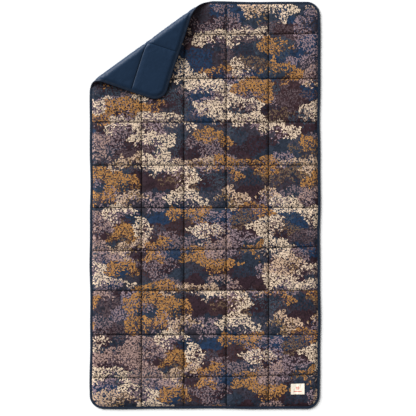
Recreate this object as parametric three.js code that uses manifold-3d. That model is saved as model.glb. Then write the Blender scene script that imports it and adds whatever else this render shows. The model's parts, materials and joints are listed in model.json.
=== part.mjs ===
// A quilted camp blanket, spread out face up with its head-left corner turned back over the face.
// Millimetres, +Z up. The origin is on the ground under the middle of the blanket, +Y runs to the head
// end and +X to the right-hand side. Everything is first made as if the blanket lay flat. Five bodies
// are then cut from it along the fold, and each is turned about the hinge line that it shares with the
// one before, so that the corner comes to lie on the face.
import * as THREE from "three";
import { mergeVertices } from "three/addons/utils/BufferGeometryUtils.js";
import Module from "manifold-3d";

const wasm = await Module();
wasm.setup();

// Driving dimensions of the blanket.
const WIDTH = 1072;
const LENGTH = 1896;
const CORNER_RADIUS = 62;
const THICKNESS = 14; // over the crown of a filled cell
const COLUMN_PITCH = 197; // between lengthwise seams
const ROW_PITCH = 198.8; // between crosswise seams
const LEAST_EDGE_CELL = 100; // no seam is sewn nearer to the edge than this
const PANEL_JOIN = 7; // the crosswise seam, from the head end, where the two face panels meet
const FABRIC = 0.8;
const FILL_AT_SEAM = 1.5; // the batting pressed flat by a seam
const SHOULDER = 25; // how far from a seam a cell reaches its full height
const GAP = 0.3; // between pieces that touch
const CURVE_STEPS = 6; // chords in each rounded corner

// Edge binding, threads and label.
const BINDING_WIDTH = 12;
const BINDING_TAPE = 0.8;
const THREAD_WIDTH = 1.2;
const THREAD_HEIGHT = 0.8;
const STITCH_INSET = 9.5; // binding stitch, from the finished edge
const SEAM_END = 5; // from the binding, or from the fold, to where a quilting seam is tied off
const LABEL = { width: 64, height: 48, thick: 0.8, fromSide: 105.6, fromFoot: 96, hem: 3 };

// The turned corner: where the outermost line of the fold meets the two edges, from the square corner.
const FOLD_DOWN_SIDE = 382;
const FOLD_ALONG_HEAD = 526;
const FOLD_RADIUS = 25; // of the lining round the fold
const FOLD_HINGES = 4;
const TIP_CLEARANCE = 1; // between the turned corner and the face it comes down on

// Worked-out sizes.
const MID = THICKNESS / 2;
const SEAM_HALF = FABRIC + GAP + FILL_AT_SEAM / 2;
const CROWN_RISE = MID - SEAM_HALF;
const RAW_EDGE = BINDING_TAPE + GAP; // the layers stop this far inside the finished edge
const BINDING_HALF = SEAM_HALF + GAP + BINDING_TAPE;
const FLAT_BORDER = BINDING_WIDTH + 1;
const BEYOND = LENGTH + WIDTH; // a size larger than the blanket, for cutting blocks

const direction = Math.atan2(FOLD_DOWN_SIDE, FOLD_ALONG_HEAD);
const alongFold = new THREE.Vector3(Math.cos(direction), Math.sin(direction), 0);
const acrossFold = new THREE.Vector3(-Math.sin(direction), Math.cos(direction), 0);
const sideMeeting = new THREE.Vector3(-WIDTH / 2, LENGTH / 2 - FOLD_DOWN_SIDE, 0);
const foldStart = acrossFold.dot(sideMeeting) - FOLD_RADIUS; // where the ground layer starts to lift
const fold = settledFold();

const colours = {
  face: new THREE.MeshStandardMaterial({ color: 0x5d5361, roughness: 0.75, metalness: 0 }),
  lining: new THREE.MeshStandardMaterial({ color: 0x22405c, roughness: 0.6, metalness: 0 }),
  fill: new THREE.MeshStandardMaterial({ color: 0xf1efe9, roughness: 0.95, metalness: 0 }),
  binding: new THREE.MeshStandardMaterial({ color: 0x1b2f47, roughness: 0.7, metalness: 0 }),
  thread: new THREE.MeshStandardMaterial({ color: 0x172536, roughness: 0.6, metalness: 0 }),
  label: new THREE.MeshStandardMaterial({ color: 0xefe3cf, roughness: 0.8, metalness: 0 }),
  labelThread: new THREE.MeshStandardMaterial({ color: 0xd9c9ae, roughness: 0.7, metalness: 0 }),
};

// The turn at each hinge, and the flat length that the fold takes up. The whole turn is half a circle
// and the little more that brings the corner down until its cells or its binding meet the face.
function settledFold() {
  const cornerCentre = new THREE.Vector3(-WIDTH / 2 + CORNER_RADIUS, LENGTH / 2 - CORNER_RADIUS, 0);
  const tip = acrossFold.dot(cornerCentre) + CORNER_RADIUS - foldStart;
  const room = 2 * FOLD_RADIUS - THICKNESS - TIP_CLEARANCE;
  let settle = 0;
  let turn = 0;
  let length = 0;
  for (let round = 0; round < 20; round++) {
    turn = (Math.PI + settle) / FOLD_HINGES;
    length = 2 * FOLD_HINGES * FOLD_RADIUS * Math.tan(turn / 2);
    const reach = tip - length;
    const cellDrop = (room - THICKNESS) / (reach - FLAT_BORDER - SHOULDER);
    const edgeDrop = (room - MID - BINDING_HALF - GAP - THREAD_HEIGHT) / reach;
    settle = Math.asin(Math.min(cellDrop, edgeDrop));
  }
  return { turn, length };
}

// A closed three.js geometry as a manifold-3d solid, and back.
function solidOf(geometry) {
  const bare = geometry.clone();
  bare.deleteAttribute("normal");
  bare.deleteAttribute("uv");
  const merged = mergeVertices(bare, 1e-4);
  return new wasm.Manifold(
    new wasm.Mesh({
      numProp: 3,
      vertProperties: merged.attributes.position.array,
      triVerts: new Uint32Array(merged.index.array),
    }),
  );
}

function geometryOf(solid) {
  const mesh = solid.getMesh();
  const geometry = new THREE.BufferGeometry();
  geometry.setAttribute("position", new THREE.BufferAttribute(mesh.vertProperties.slice(), 3));
  geometry.setIndex(new THREE.BufferAttribute(mesh.triVerts.slice(), 1));
  geometry.computeVertexNormals();
  return geometry;
}

// The blanket's outline with round corners, moved in by inset.
function outline(inset) {
  const x = WIDTH / 2 - inset;
  const y = LENGTH / 2 - inset;
  const r = CORNER_RADIUS - inset;
  const shape = new THREE.Shape();
  shape.moveTo(-x + r, -y);
  shape.lineTo(x - r, -y);
  shape.absarc(x - r, -y + r, r, -Math.PI / 2, 0, false);
  shape.absarc(x - r, y - r, r, 0, Math.PI / 2, false);
  shape.absarc(-x + r, y - r, r, Math.PI / 2, Math.PI, false);
  shape.absarc(-x + r, -y + r, r, Math.PI, 1.5 * Math.PI, false);
  return shape;
}

// A plate of that outline, between two distances above and below the middle of the layers.
function plate(inset, from, to) {
  const settings = { depth: to - from, bevelEnabled: false, curveSegments: CURVE_STEPS };
  return solidOf(new THREE.ExtrudeGeometry(outline(inset), settings).translate(0, 0, MID + from));
}

// Seam lines, counted from the left and from the head end.
function lengthwiseSeams() {
  const pairs = Math.floor((WIDTH / 2 - LEAST_EDGE_CELL) / COLUMN_PITCH + 0.5);
  return Array.from({ length: 2 * pairs }, (_, i) => (i - pairs + 0.5) * COLUMN_PITCH);
}

function crosswiseSeams() {
  const each = Math.floor((LENGTH / 2 - LEAST_EDGE_CELL) / ROW_PITCH);
  return Array.from({ length: 2 * each + 1 }, (_, i) => (each - i) * ROW_PITCH);
}

// The grid of puffed cells, without a border: each cell is a flat crown with sloping shoulders.
function cells(seamHalf) {
  const xs = [-BEYOND, ...lengthwiseSeams(), BEYOND];
  const ys = [-BEYOND, ...crosswiseSeams().reverse(), BEYOND];
  const position = [];
  const quad = (a, b, c, d) => position.push(...a, ...b, ...c, ...a, ...c, ...d);
  const corners = (x0, x1, y0, y1, z) => [[x0, y0, z], [x1, y0, z], [x1, y1, z], [x0, y1, z]];
  for (let i = 0; i + 1 < xs.length; i++) {
    for (let j = 0; j + 1 < ys.length; j++) {
      for (const side of [1, -1]) {
        const [x0, x1, y0, y1] = [xs[i], xs[i + 1], ys[j], ys[j + 1]];
        const rim = corners(x0, x1, y0, y1, MID + side * seamHalf);
        const high = MID + side * (seamHalf + CROWN_RISE);
        const crown = corners(x0 + SHOULDER, x1 - SHOULDER, y0 + SHOULDER, y1 - SHOULDER, high);
        const shoulders = rim.map((p, k) => [p, rim[(k + 1) % 4], crown[(k + 1) % 4], crown[k]]);
        for (const face of [crown, ...shoulders]) quad(...(side > 0 ? face : face.reverse()));
      }
    }
  }
  const [low, high] = [MID - seamHalf, MID + seamHalf];
  const wall = (a, b) => quad([...a, low], [...b, low], [...b, high], [...a, high]);
  for (let i = 0; i + 1 < xs.length; i++) {
    wall([xs[i], ys[0]], [xs[i + 1], ys[0]]);
    wall([xs[i + 1], ys.at(-1)], [xs[i], ys.at(-1)]);
  }
  for (let j = 0; j + 1 < ys.length; j++) {
    wall([xs[0], ys[j + 1]], [xs[0], ys[j]]);
    wall([xs.at(-1), ys[j]], [xs.at(-1), ys[j + 1]]);
  }
  const geometry = new THREE.BufferGeometry();
  geometry.setAttribute("position", new THREE.BufferAttribute(new Float32Array(position), 3));
  return solidOf(geometry);
}

// The space inside one skin of the quilt: cells, with a thin flat border under the binding.
function quilted(seamHalf, edgeInset) {
  const bevel = { bevelThickness: CROWN_RISE, bevelSize: SHOULDER, bevelSegments: 1 };
  const settings = { depth: 2 * seamHalf, curveSegments: CURVE_STEPS, ...bevel };
  const middle = new THREE.ExtrudeGeometry(outline(FLAT_BORDER + SHOULDER), settings);
  const puffed = solidOf(middle.translate(0, 0, MID - seamHalf));
  return plate(edgeInset, -seamHalf, seamHalf).add(puffed).intersect(cells(seamHalf));
}

// A block on one side of a level plane or of a crosswise line.
function above(z) {
  return solidOf(new THREE.BoxGeometry(BEYOND, BEYOND, BEYOND).translate(0, 0, z + BEYOND / 2));
}

function headSideOf(y) {
  return solidOf(new THREE.BoxGeometry(BEYOND, BEYOND, BEYOND).translate(0, y + BEYOND / 2, 0));
}

// A block on one side of hinge number k: side -1 is towards the blanket and 1 towards the corner. Its
// face goes through the hinge line on the ground and leans away from it by half a turn, so that two
// neighbours meet face to face when the corner is turned back.
function besideHinge(k, side) {
  const block = new THREE.BoxGeometry(BEYOND, 2 * BEYOND, 2 * BEYOND);
  block.translate((side * BEYOND) / 2, 0, 0).rotateY((side * fold.turn) / 2);
  const place = new THREE.Matrix4().makeBasis(
    acrossFold,
    alongFold.clone().negate(),
    new THREE.Vector3(0, 0, 1),
  );
  place.setPosition(acrossFold.clone().multiplyScalar(hingeDistance(k) + (side * GAP) / 2));
  return solidOf(block.applyMatrix4(place));
}

function hingeDistance(k) {
  return foldStart + ((2 * k - 1) * fold.length) / (2 * FOLD_HINGES);
}

// The part of a flat solid that belongs to body k: 0 is the blanket and FOLD_HINGES the corner.
function partOf(solid, k) {
  let piece = solid;
  if (k > 0) piece = piece.intersect(besideHinge(k, 1));
  if (k < FOLD_HINGES) piece = piece.intersect(besideHinge(k + 1, -1));
  return piece;
}

// A quilting seam between two points: a face thread and a back thread joined at both tied-off ends.
// A seam at level 1 runs over those at level 0 where they cross.
function seamThread(from, to, level) {
  const reach = SEAM_HALF + GAP + level * (THREAD_HEIGHT + GAP);
  const length = from.distanceTo(to);
  const frame = rectangle(0, length, -reach - THREAD_HEIGHT, reach + THREAD_HEIGHT);
  frame.holes.push(rectangle(THREAD_HEIGHT, length - THREAD_HEIGHT, -reach, reach));
  const thread = new THREE.ExtrudeGeometry(frame, { depth: THREAD_WIDTH, bevelEnabled: false });
  thread.translate(0, 0, -THREAD_WIDTH / 2).rotateX(Math.PI / 2);
  return solidOf(placedBetween(thread, from, to));
}

// The holes that a seam's tied-off ends need in the layers.
function seamHoles(from, to) {
  const length = from.distanceTo(to);
  const holes = [THREAD_HEIGHT / 2, length - THREAD_HEIGHT / 2].map((x) => {
    const hole = new THREE.BoxGeometry(THREAD_HEIGHT + 2 * GAP, THREAD_WIDTH + 2 * GAP, THICKNESS);
    return solidOf(placedBetween(hole.translate(x, 0, 0), from, to));
  });
  return holes[0].add(holes[1]);
}

function rectangle(x0, x1, y0, y1) {
  const shape = new THREE.Shape();
  shape.moveTo(x0, y0).lineTo(x1, y0).lineTo(x1, y1).lineTo(x0, y1).closePath();
  return shape;
}

function placedBetween(geometry, from, to) {
  const heading = Math.atan2(to.y - from.y, to.x - from.x);
  return geometry.rotateZ(heading).translate(from.x, from.y, MID);
}

// Where each seam starts and ends: at the binding, or at the fold that crosses it.
function seamRuns() {
  const inX = WIDTH / 2 - BINDING_WIDTH - SEAM_END;
  const inY = LENGTH / 2 - BINDING_WIDTH - SEAM_END;
  const lean = THICKNESS * Math.tan(fold.turn / 2);
  const lastOnBlanket = hingeDistance(1) - lean - SEAM_END;
  const firstOnCorner = hingeDistance(FOLD_HINGES) + lean + SEAM_END;
  const { x: nx, y: ny } = acrossFold;
  const runs = [];
  const add = (name, level, from, to) => {
    if (from.distanceTo(to) > 2 * SEAM_END) runs.push({ name, level, from, to });
  };
  lengthwiseSeams().forEach((x, i) => {
    const stop = Math.min(inY, (lastOnBlanket - nx * x) / ny);
    const start = (firstOnCorner - nx * x) / ny;
    const name = `lengthwise_seam_${i + 1}`;
    add(name, 0, new THREE.Vector2(x, -inY), new THREE.Vector2(x, stop));
    if (start < inY) {
      add(`corner_${name}`, 0, new THREE.Vector2(x, start), new THREE.Vector2(x, inY));
    }
  });
  crosswiseSeams().forEach((y, i) => {
    const start = Math.max(-inX, (lastOnBlanket - ny * y) / nx);
    const stop = (firstOnCorner - ny * y) / nx;
    const name = `crosswise_seam_${i + 1}`;
    add(name, 1, new THREE.Vector2(start, y), new THREE.Vector2(inX, y));
    if (stop > -inX) {
      add(`corner_${name}`, 1, new THREE.Vector2(-inX, y), new THREE.Vector2(stop, y));
    }
  });
  return runs;
}

// The folded tape round the edge: a channel that holds the layers.
function bindingChannel() {
  const tape = plate(0, -BINDING_HALF, BINDING_HALF);
  const inside = plate(BINDING_WIDTH, -2 * BINDING_HALF, 2 * BINDING_HALF);
  const channel = plate(BINDING_TAPE, -SEAM_HALF - GAP, SEAM_HALF + GAP);
  return tape.subtract(inside).subtract(channel);
}

// One run of the binding's stitches, on the face (side 1) or the back (side -1).
function bindingStitch(side) {
  const near = BINDING_HALF + GAP;
  const [from, to] = side > 0 ? [near, near + THREAD_HEIGHT] : [-near - THREAD_HEIGHT, -near];
  const ring = plate(STITCH_INSET, from, to);
  return ring.subtract(plate(STITCH_INSET + THREAD_WIDTH, 2 * from - to, 2 * to - from));
}

function label() {
  const { width, height, thick } = LABEL;
  return new THREE.BoxGeometry(width, height, thick).translate(0, 0, GAP + thick / 2);
}

function labelStitch() {
  const { width, height, thick, hem } = LABEL;
  const [x, y] = [width / 2 - hem, height / 2 - hem];
  const ring = rectangle(-x, x, -y, y);
  const [inX, inY] = [x - THREAD_WIDTH, y - THREAD_WIDTH];
  ring.holes.push(rectangle(-inX, inX, -inY, inY));
  const settings = { depth: THREAD_HEIGHT, bevelEnabled: false };
  return new THREE.ExtrudeGeometry(ring, settings).translate(0, 0, 2 * GAP + thick);
}

// The scene: body 0 is the blanket, and each later body hangs in the one before, turned at its hinge.
const blanket = new THREE.Group();
const bodies = [blanket];
for (let k = 1; k <= FOLD_HINGES; k++) {
  const body = new THREE.Group();
  const before = k > 1 ? hingeDistance(k - 1) : 0;
  body.position.copy(acrossFold).multiplyScalar(hingeDistance(k) - before);
  body.quaternion.setFromAxisAngle(alongFold, fold.turn);
  bodies[k - 1].add(body);
  bodies.push(body);
}

function put(name, geometry, material, k = 0) {
  const mesh = new THREE.Mesh(geometry, material);
  mesh.name = name;
  if (k > 0) mesh.position.copy(acrossFold).multiplyScalar(-hingeDistance(k));
  bodies[k].add(mesh);
  return mesh;
}

function prefix(k) {
  if (k === 0) return "";
  return k < FOLD_HINGES ? `fold_${k}_` : "corner_";
}

const seams = seamRuns();
const holes = seams.map(({ from, to }) => seamHoles(from, to)).reduce((a, b) => a.add(b));
const skins = quilted(SEAM_HALF, RAW_EDGE)
  .subtract(quilted(SEAM_HALF - FABRIC, -GAP))
  .subtract(holes);
const face = skins.intersect(above(MID));
const lining = skins.subtract(above(MID));
const fill = quilted(FILL_AT_SEAM / 2, RAW_EDGE).subtract(holes);
const joinLine = crosswiseSeams()[PANEL_JOIN - 1];
const binding = bindingChannel();

for (let k = 0; k <= FOLD_HINGES; k++) {
  const name = prefix(k);
  if (k === 0) {
    const sheet = partOf(face, k);
    const upper = sheet.intersect(headSideOf(joinLine + GAP / 2));
    const lower = sheet.subtract(headSideOf(joinLine - GAP / 2));
    put("face_upper_panel", geometryOf(upper), colours.face);
    put("face_lower_panel", geometryOf(lower), colours.face);
  } else {
    put(`${name}face`, geometryOf(partOf(face, k)), colours.face, k);
  }
  put(`${name}fill`, geometryOf(partOf(fill, k)), colours.fill, k);
  put(`${name}lining`, geometryOf(partOf(lining, k)), colours.lining, k);
  const tapes = partOf(binding, k).decompose();
  tapes.sort((a, b) => a.boundingBox().min[1] - b.boundingBox().min[1]);
  const tapeNames = tapes.length > 1 ? ["binding_side", "binding_head"] : ["edge_binding"];
  tapes.forEach((tape, i) => put(name + tapeNames[i], geometryOf(tape), colours.binding, k));
}

for (const k of [0, FOLD_HINGES]) {
  for (const [word, side] of [["face", 1], ["back", -1]]) {
    const stitch = geometryOf(partOf(bindingStitch(side), k));
    put(`${prefix(k)}binding_stitch_${word}`, stitch, colours.thread, k);
  }
}

for (const { name, level, from, to } of seams) {
  const k = name.startsWith("corner") ? FOLD_HINGES : 0;
  put(name, geometryOf(seamThread(from, to, level)), colours.thread, k);
}

const labelPlace = [WIDTH / 2 - LABEL.fromSide, -LENGTH / 2 + LABEL.fromFoot, THICKNESS];
put("label", label(), colours.label).position.set(...labelPlace);
put("label_stitch", labelStitch(), colours.labelThread).position.set(...labelPlace);

export default blanket;
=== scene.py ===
"""A box-quilted camp blanket, lying face up with its head-left corner turned back to show the lining.

Every layer is drawn as it was cut and sewn, flat on the table, then laid over the turned corner by one function,
turned_back(). What crosses the roll is parted at the roll's own lines, into one piece for each strip of the
roll. Sizes are in metres.
"""
import json
import math

import bmesh
import bpy
import numpy as np
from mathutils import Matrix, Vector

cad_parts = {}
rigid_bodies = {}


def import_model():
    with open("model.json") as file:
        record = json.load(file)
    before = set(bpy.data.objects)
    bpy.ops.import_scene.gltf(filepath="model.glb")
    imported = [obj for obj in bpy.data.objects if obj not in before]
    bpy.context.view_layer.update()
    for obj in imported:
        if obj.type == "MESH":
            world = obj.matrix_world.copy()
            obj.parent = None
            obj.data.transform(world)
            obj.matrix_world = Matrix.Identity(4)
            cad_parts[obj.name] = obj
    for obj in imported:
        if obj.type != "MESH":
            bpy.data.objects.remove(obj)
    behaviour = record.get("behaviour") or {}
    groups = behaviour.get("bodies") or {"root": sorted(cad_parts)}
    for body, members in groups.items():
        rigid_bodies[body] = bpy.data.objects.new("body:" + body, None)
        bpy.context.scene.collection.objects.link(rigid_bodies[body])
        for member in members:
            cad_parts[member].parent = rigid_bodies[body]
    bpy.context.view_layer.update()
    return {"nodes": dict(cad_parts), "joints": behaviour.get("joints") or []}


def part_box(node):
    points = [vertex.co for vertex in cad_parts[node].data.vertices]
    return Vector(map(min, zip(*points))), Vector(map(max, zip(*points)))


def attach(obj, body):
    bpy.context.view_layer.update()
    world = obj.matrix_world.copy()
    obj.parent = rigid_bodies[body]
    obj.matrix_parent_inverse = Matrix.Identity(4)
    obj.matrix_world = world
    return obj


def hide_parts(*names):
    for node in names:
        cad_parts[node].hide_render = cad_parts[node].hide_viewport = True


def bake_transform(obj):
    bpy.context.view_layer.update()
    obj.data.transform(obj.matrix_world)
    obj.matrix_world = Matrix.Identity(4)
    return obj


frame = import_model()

MM = 0.001

# The blanket's own sizes that its CAD solids don't state outright.
CORNER_RADIUS = 62 * MM
FABRIC = 0.4 * MM  # taffeta as it looks; the CAD sheets are twice that
PINCH = 2.6 * MM  # through all the layers at a seam
RAW_EDGE = 1.1 * MM  # the layers stop this far inside the binding's edge
BINDING_WIDTH = 12 * MM
BINDING_TAPE = 0.7 * MM
CLEARANCE = 0.35 * MM  # between one layer and the next
CLOTH_STEP = 7.4 * MM  # the mesh's squares
GROOVE = 3.6 * MM  # half width of the pinched line that the thread pulls into the cloth
GROOVE_DEPTH = 2.6 * MM
SHOULDER = 2.0 * MM  # the puff's steep shoulder beside it
SHOULDER_REACH = 6 * MM
SETTLE = 2.4 * MM  # the seams of the part on the ground lie this far below mid-height
EDGE_SAG = 3.6 * MM  # and its thin edge this far
EDGE_SAG_REACH = 70 * MM
ROLL_SQUEEZE = 0.5  # the share of the puff that is pressed out inside the roll
CREASE = 1.5 * MM  # depth of the creases the face is pushed into inside the roll
CREASE_PITCH = 10.8 * MM

# Stitching.
QUILT_PITCH = 4.5 * MM
QUILT_STITCH = 3.4 * MM
QUILT_THREAD = 1.3 * MM
BINDING_PITCH = 3.8 * MM
BINDING_STITCH = 2.9 * MM
BINDING_THREAD = 0.7 * MM
BINDING_STITCH_INSET = 10 * MM
LABEL_PITCH = 3 * MM
LABEL_STITCH = 2.3 * MM
LABEL_THREAD = 0.5 * MM
LABEL_HEM = 2.5 * MM
LABEL_TILT = math.radians(0.5)
LABEL_DRIFT = np.array([0, -5 * MM])

# How far each crosswise seam was sewn from its true line, at the left and at the right edge, in mm
# from the head to the foot. The lengthwise seams all drifted a little to the right.
CROSSWISE_DRIFT = (
    (-7, 4), (-9, -9), (-13, -12), (-14, -14), (-13, -13), (-14, 6), (-1, 1), (-8, -7), (-9, 7),
)
LENGTHWISE_DRIFT = 2 * MM

# The cloth's puff between the seams.
PUFF_FRAMES = 20
PUFF_PRESSURE = 4
PUFF_EASE = 0.035  # the share by which the cloth was cut larger than its seams, so that it puckers
PUFF_SEED = 7
WRINKLE_SHARE = 0.85  # of the simulated wrinkles' height, as the batting holds the cloth down

# ------------------------------------------------------------------------------------------------
# Sizes that come from the frame.

face_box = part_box("face_upper_panel")
binding_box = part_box("edge_binding")
half_width = binding_box[1].x
half_length = binding_box[1].y
crown_top = face_box[1].z
middle = crown_top / 2
seam_top = middle + PINCH / 2
seam_bottom = middle - PINCH / 2
puff = crown_top - seam_top
panel_join = (face_box[0].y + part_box("face_lower_panel")[1].y) / 2


def seam_lines(word, axis):
    """Where the CAD threads of one direction lie, as {node name: place along x or y}."""
    names = [n for n in frame["nodes"] if n.startswith(word)]
    return {n: sum(c[axis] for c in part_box(n)) / 2 for n in sorted(names)}


lengthwise = seam_lines("lengthwise_seam", 0)
crosswise = seam_lines("crosswise_seam", 1)

# The roll of the turned corner, from its chain of hinges.
hinges = [np.array(j["pos_m"]) for j in frame["joints"]]
chain = [frame["joints"][0]["parent"]] + [j["child"] for j in frame["joints"]]
along = -np.array(frame["joints"][0]["axis"])
across = np.array([-along[1], along[0], 0.0])
step = hinges[1] - hinges[0]
strip = float(np.linalg.norm(step))
strip_turn = math.atan2(step[2], float(step @ across))
roll_radius = strip / 2 / math.tan(strip_turn / 2)
roll_start = float(hinges[0] @ across) - strip / 2
roll_length = strip * len(hinges)
roll_turn = strip_turn * len(hinges)
roll_middle = float(hinges[0] @ along)


# ------------------------------------------------------------------------------------------------
# From the flat cloth to where it lies.


def smooth(x, low, high):
    t = np.clip((x - low) / (high - low), 0, 1)
    return t * t * (3 - 2 * t)


def past_roll_start(flat):
    """How far flat points lie beyond the line where the ground layer starts to lift."""
    return flat[:, 0] * across[0] + flat[:, 1] * across[1] - roll_start


def turned_back(flat):
    """Flat points, with their height over the ground, laid round the roll and back over the face."""
    s = past_roll_start(flat)
    height = flat[:, 2]
    phi = np.clip(s / roll_length, 0, 1) * roll_turn
    run = np.where(s < 0, s, np.maximum(s - roll_length, 0))
    n = roll_start + (roll_radius - height) * np.sin(phi) + run * np.cos(phi)
    z = roll_radius - (roll_radius - height) * np.cos(phi) + run * np.sin(phi)
    a = flat[:, 0] * along[0] + flat[:, 1] * along[1]
    return np.stack([a * along[0] + n * across[0], a * along[1] + n * across[1], z], axis=1)


def sewn(cut):
    """Points of the cut cloth where uneven sewing and a soft edge put them, still flat."""
    x, y = cut[:, 0], cut[:, 1]
    rows = [half_length, *sorted(crosswise.values(), reverse=True), -half_length]
    drift = np.array([(0, 0), *CROSSWISE_DRIFT, (0, 0)]) * MM
    left = np.interp(-y, [-r for r in rows], drift[:, 0])
    right = np.interp(-y, [-r for r in rows], drift[:, 1])
    share = np.clip(x / (2 * half_width) + 0.5, 0, 1) ** 2
    inner = np.clip(1 - (x / half_width) ** 4, 0, 1)
    wave = 1.5 * np.sin(y * 10.3 + 0.7) + 0.9 * np.sin(y * 23.7 + np.sign(x) * 1.3)
    moved = cut.copy()
    moved[:, 0] += LENGTHWISE_DRIFT * inner + wave * MM * np.abs(x / half_width) ** 3
    moved[:, 1] += left * (1 - share) + right * share
    ripple = 1.2 * np.sin(x * 9.1 + 1.9) + 0.7 * np.sin(x * 21 + 0.4)
    moved[:, 1] += ripple * MM * np.abs(y / half_length) ** 8
    return moved


def from_edge(x, y):
    """Distance inside the blanket's rounded outline."""
    dx, dy = np.abs(x) - (half_width - CORNER_RADIUS), np.abs(y) - (half_length - CORNER_RADIUS)
    outside = np.hypot(np.maximum(dx, 0), np.maximum(dy, 0))
    return CORNER_RADIUS - (outside + np.minimum(np.maximum(dx, dy), 0))


def lying(cut):
    """1 where the cloth lies on the ground, fading to 0 as it comes to the roll."""
    return 1 - smooth(past_roll_start(cut), -0.11, -0.02)


def sag(cut):
    """How far seams and edge have sunk towards the ground."""
    by_edge = 1 - smooth(from_edge(cut[:, 0], cut[:, 1]), 0, EDGE_SAG_REACH)
    return lying(cut) * (SETTLE + (EDGE_SAG - SETTLE) * by_edge)


def in_roll(flat):
    """1 where flat points lie in the roll, fading to 0 beside it."""
    s = past_roll_start(flat)
    fade = 0.6 * strip
    return smooth(s, -fade, fade) * (1 - smooth(s, roll_length - fade, roll_length + fade))


def creased(flat):
    """Extra height of the face inside the roll, where its length is taken up in creases along the fold."""
    s = past_roll_start(flat)
    a = flat[:, 0] * along[0] + flat[:, 1] * along[1]
    wander = 2.6 * MM * np.sin(a * 31) + 1.7 * MM * np.sin(a * 83 + 1)
    return CREASE * (1 + np.sin((s + wander) * 2 * math.pi / CREASE_PITCH)) * in_roll(flat)


# ------------------------------------------------------------------------------------------------
# The cut cloth as a grid, and the puff of its boxes.


def grid_lines(low, high, seams, groove=None):
    """Places of the mesh lines from low to high, with a line on every seam and on the binding's edge, and
    with two on each side of a seam for its groove."""
    stops = [low, low + BINDING_WIDTH - RAW_EDGE, *sorted(seams), high - BINDING_WIDTH + RAW_EDGE, high]
    lines = [low]
    for a, b in zip(stops, stops[1:]):
        count = 2 * max(1, round((b - a) / CLOTH_STEP / 2))
        lines += [a + (b - a) * i / count for i in range(1, count + 1)]
    if groove:
        lines += [seam + side * groove for seam in seams for side in (-1, -0.43, 0.43, 1)]
    return np.array(sorted(lines))


def round_corners(x, y):
    """The square grid with its corners drawn in to arcs."""
    ax, ay = np.abs(x) - (half_width - CORNER_RADIUS), np.abs(y) - (half_length - CORNER_RADIUS)
    corner = (ax > 0) & (ay > 0)
    scale = np.where(corner, np.maximum(ax, ay) / np.maximum(np.hypot(ax, ay), 1e-9), 1)
    rx = np.where(corner, half_width - CORNER_RADIUS + ax * scale, np.abs(x))
    ry = np.where(corner, half_length - CORNER_RADIUS + ay * scale, np.abs(y))
    return np.copysign(rx, x), np.copysign(ry, y)


edge_x, edge_y = half_width - RAW_EDGE, half_length - RAW_EDGE
coarse_xs = grid_lines(-edge_x, edge_x, lengthwise.values())
coarse_ys = grid_lines(-edge_y, edge_y, crosswise.values())
xs = grid_lines(-edge_x, edge_x, lengthwise.values(), GROOVE)
ys = grid_lines(-edge_y, edge_y, crosswise.values(), GROOVE)
coarse_square = np.meshgrid(coarse_xs, coarse_ys)
coarse_grid = round_corners(*coarse_square)
square = np.meshgrid(xs, ys)
grid_x, grid_y = round_corners(*square)


def from_seam(x, y):
    """Distance from the nearest seam or from the binding's inner edge, nothing under the binding."""
    to_x = np.min([np.abs(x - s) for s in lengthwise.values()], axis=0)
    to_y = np.min([np.abs(y - s) for s in crosswise.values()], axis=0)
    inside = half_width - BINDING_WIDTH - np.abs(x), half_length - BINDING_WIDTH - np.abs(y)
    return np.maximum(np.minimum(np.minimum(to_x, to_y), np.minimum(*inside)), 0)


def quads(rows, columns):
    index = np.arange(rows * columns).reshape(rows, columns)
    corners = index[:-1, :-1], index[:-1, 1:], index[1:, 1:], index[1:, :-1]
    return np.stack(corners, axis=-1).reshape(-1, 4)


def make_object(name, points, faces):
    mesh = bpy.data.meshes.new(name)
    mesh.from_pydata(np.asarray(points, float).tolist(), [], [list(map(int, f)) for f in faces])
    mesh.update()
    made = bpy.data.objects.new(name, mesh)
    bpy.context.scene.collection.objects.link(made)
    return made


def puffed_by_simulation():
    """The cloth held along its seams and blown up between them, as moves of the coarse grid's points."""
    clear = from_seam(*coarse_square)
    gx, gy = coarse_grid
    rng = np.random.default_rng(PUFF_SEED)
    z = 4 * MM * (1 - np.exp(-clear / 0.02)) + rng.normal(0, 0.3 * MM, clear.shape) * (clear > 1e-6)
    start = np.stack([gx, gy, z], axis=-1).reshape(-1, 3)
    cloth = make_object("puffing_cloth", start, quads(*gx.shape))
    held = cloth.vertex_groups.new(name="held")
    held.add(np.nonzero((clear < 1e-6).ravel())[0].tolist(), 1.0, "REPLACE")
    modifier = cloth.modifiers.new("Cloth", "CLOTH")
    cloth_settings = {
        "quality": 4, "mass": 0.15, "air_damping": 1, "vertex_group_mass": "held",
        "tension_stiffness": 15, "compression_stiffness": 15, "shear_stiffness": 5, "bending_stiffness": 0.05,
        "tension_damping": 5, "compression_damping": 5, "shear_damping": 5, "bending_damping": 0.5,
        "use_pressure": True, "uniform_pressure_force": PUFF_PRESSURE, "shrink_min": -PUFF_EASE,
    }
    for setting, value in cloth_settings.items():
        setattr(modifier.settings, setting, value)
    modifier.settings.effector_weights.gravity = 0
    modifier.collision_settings.use_collision = False
    modifier.point_cache.frame_end = PUFF_FRAMES
    for number in range(1, PUFF_FRAMES + 1):
        bpy.context.scene.frame_set(number)
    done = cloth.evaluated_get(bpy.context.evaluated_depsgraph_get()).data
    places = np.zeros(len(done.vertices) * 3, np.float32)
    done.vertices.foreach_get("co", places)
    bpy.data.objects.remove(cloth)
    bpy.context.scene.frame_set(1)
    return places.reshape(*gx.shape, 3) - np.stack([gx, gy, np.zeros_like(z)], axis=-1)


def neighbours(field, pick):
    """A field with each point replaced by pick of itself and the eight points round it."""
    wide = np.pad(field, 1, mode="edge")
    rows, columns = field.shape
    around = [wide[i:i + rows, j:j + columns] for i in range(3) for j in range(3)]
    return pick(around, axis=0)


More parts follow.
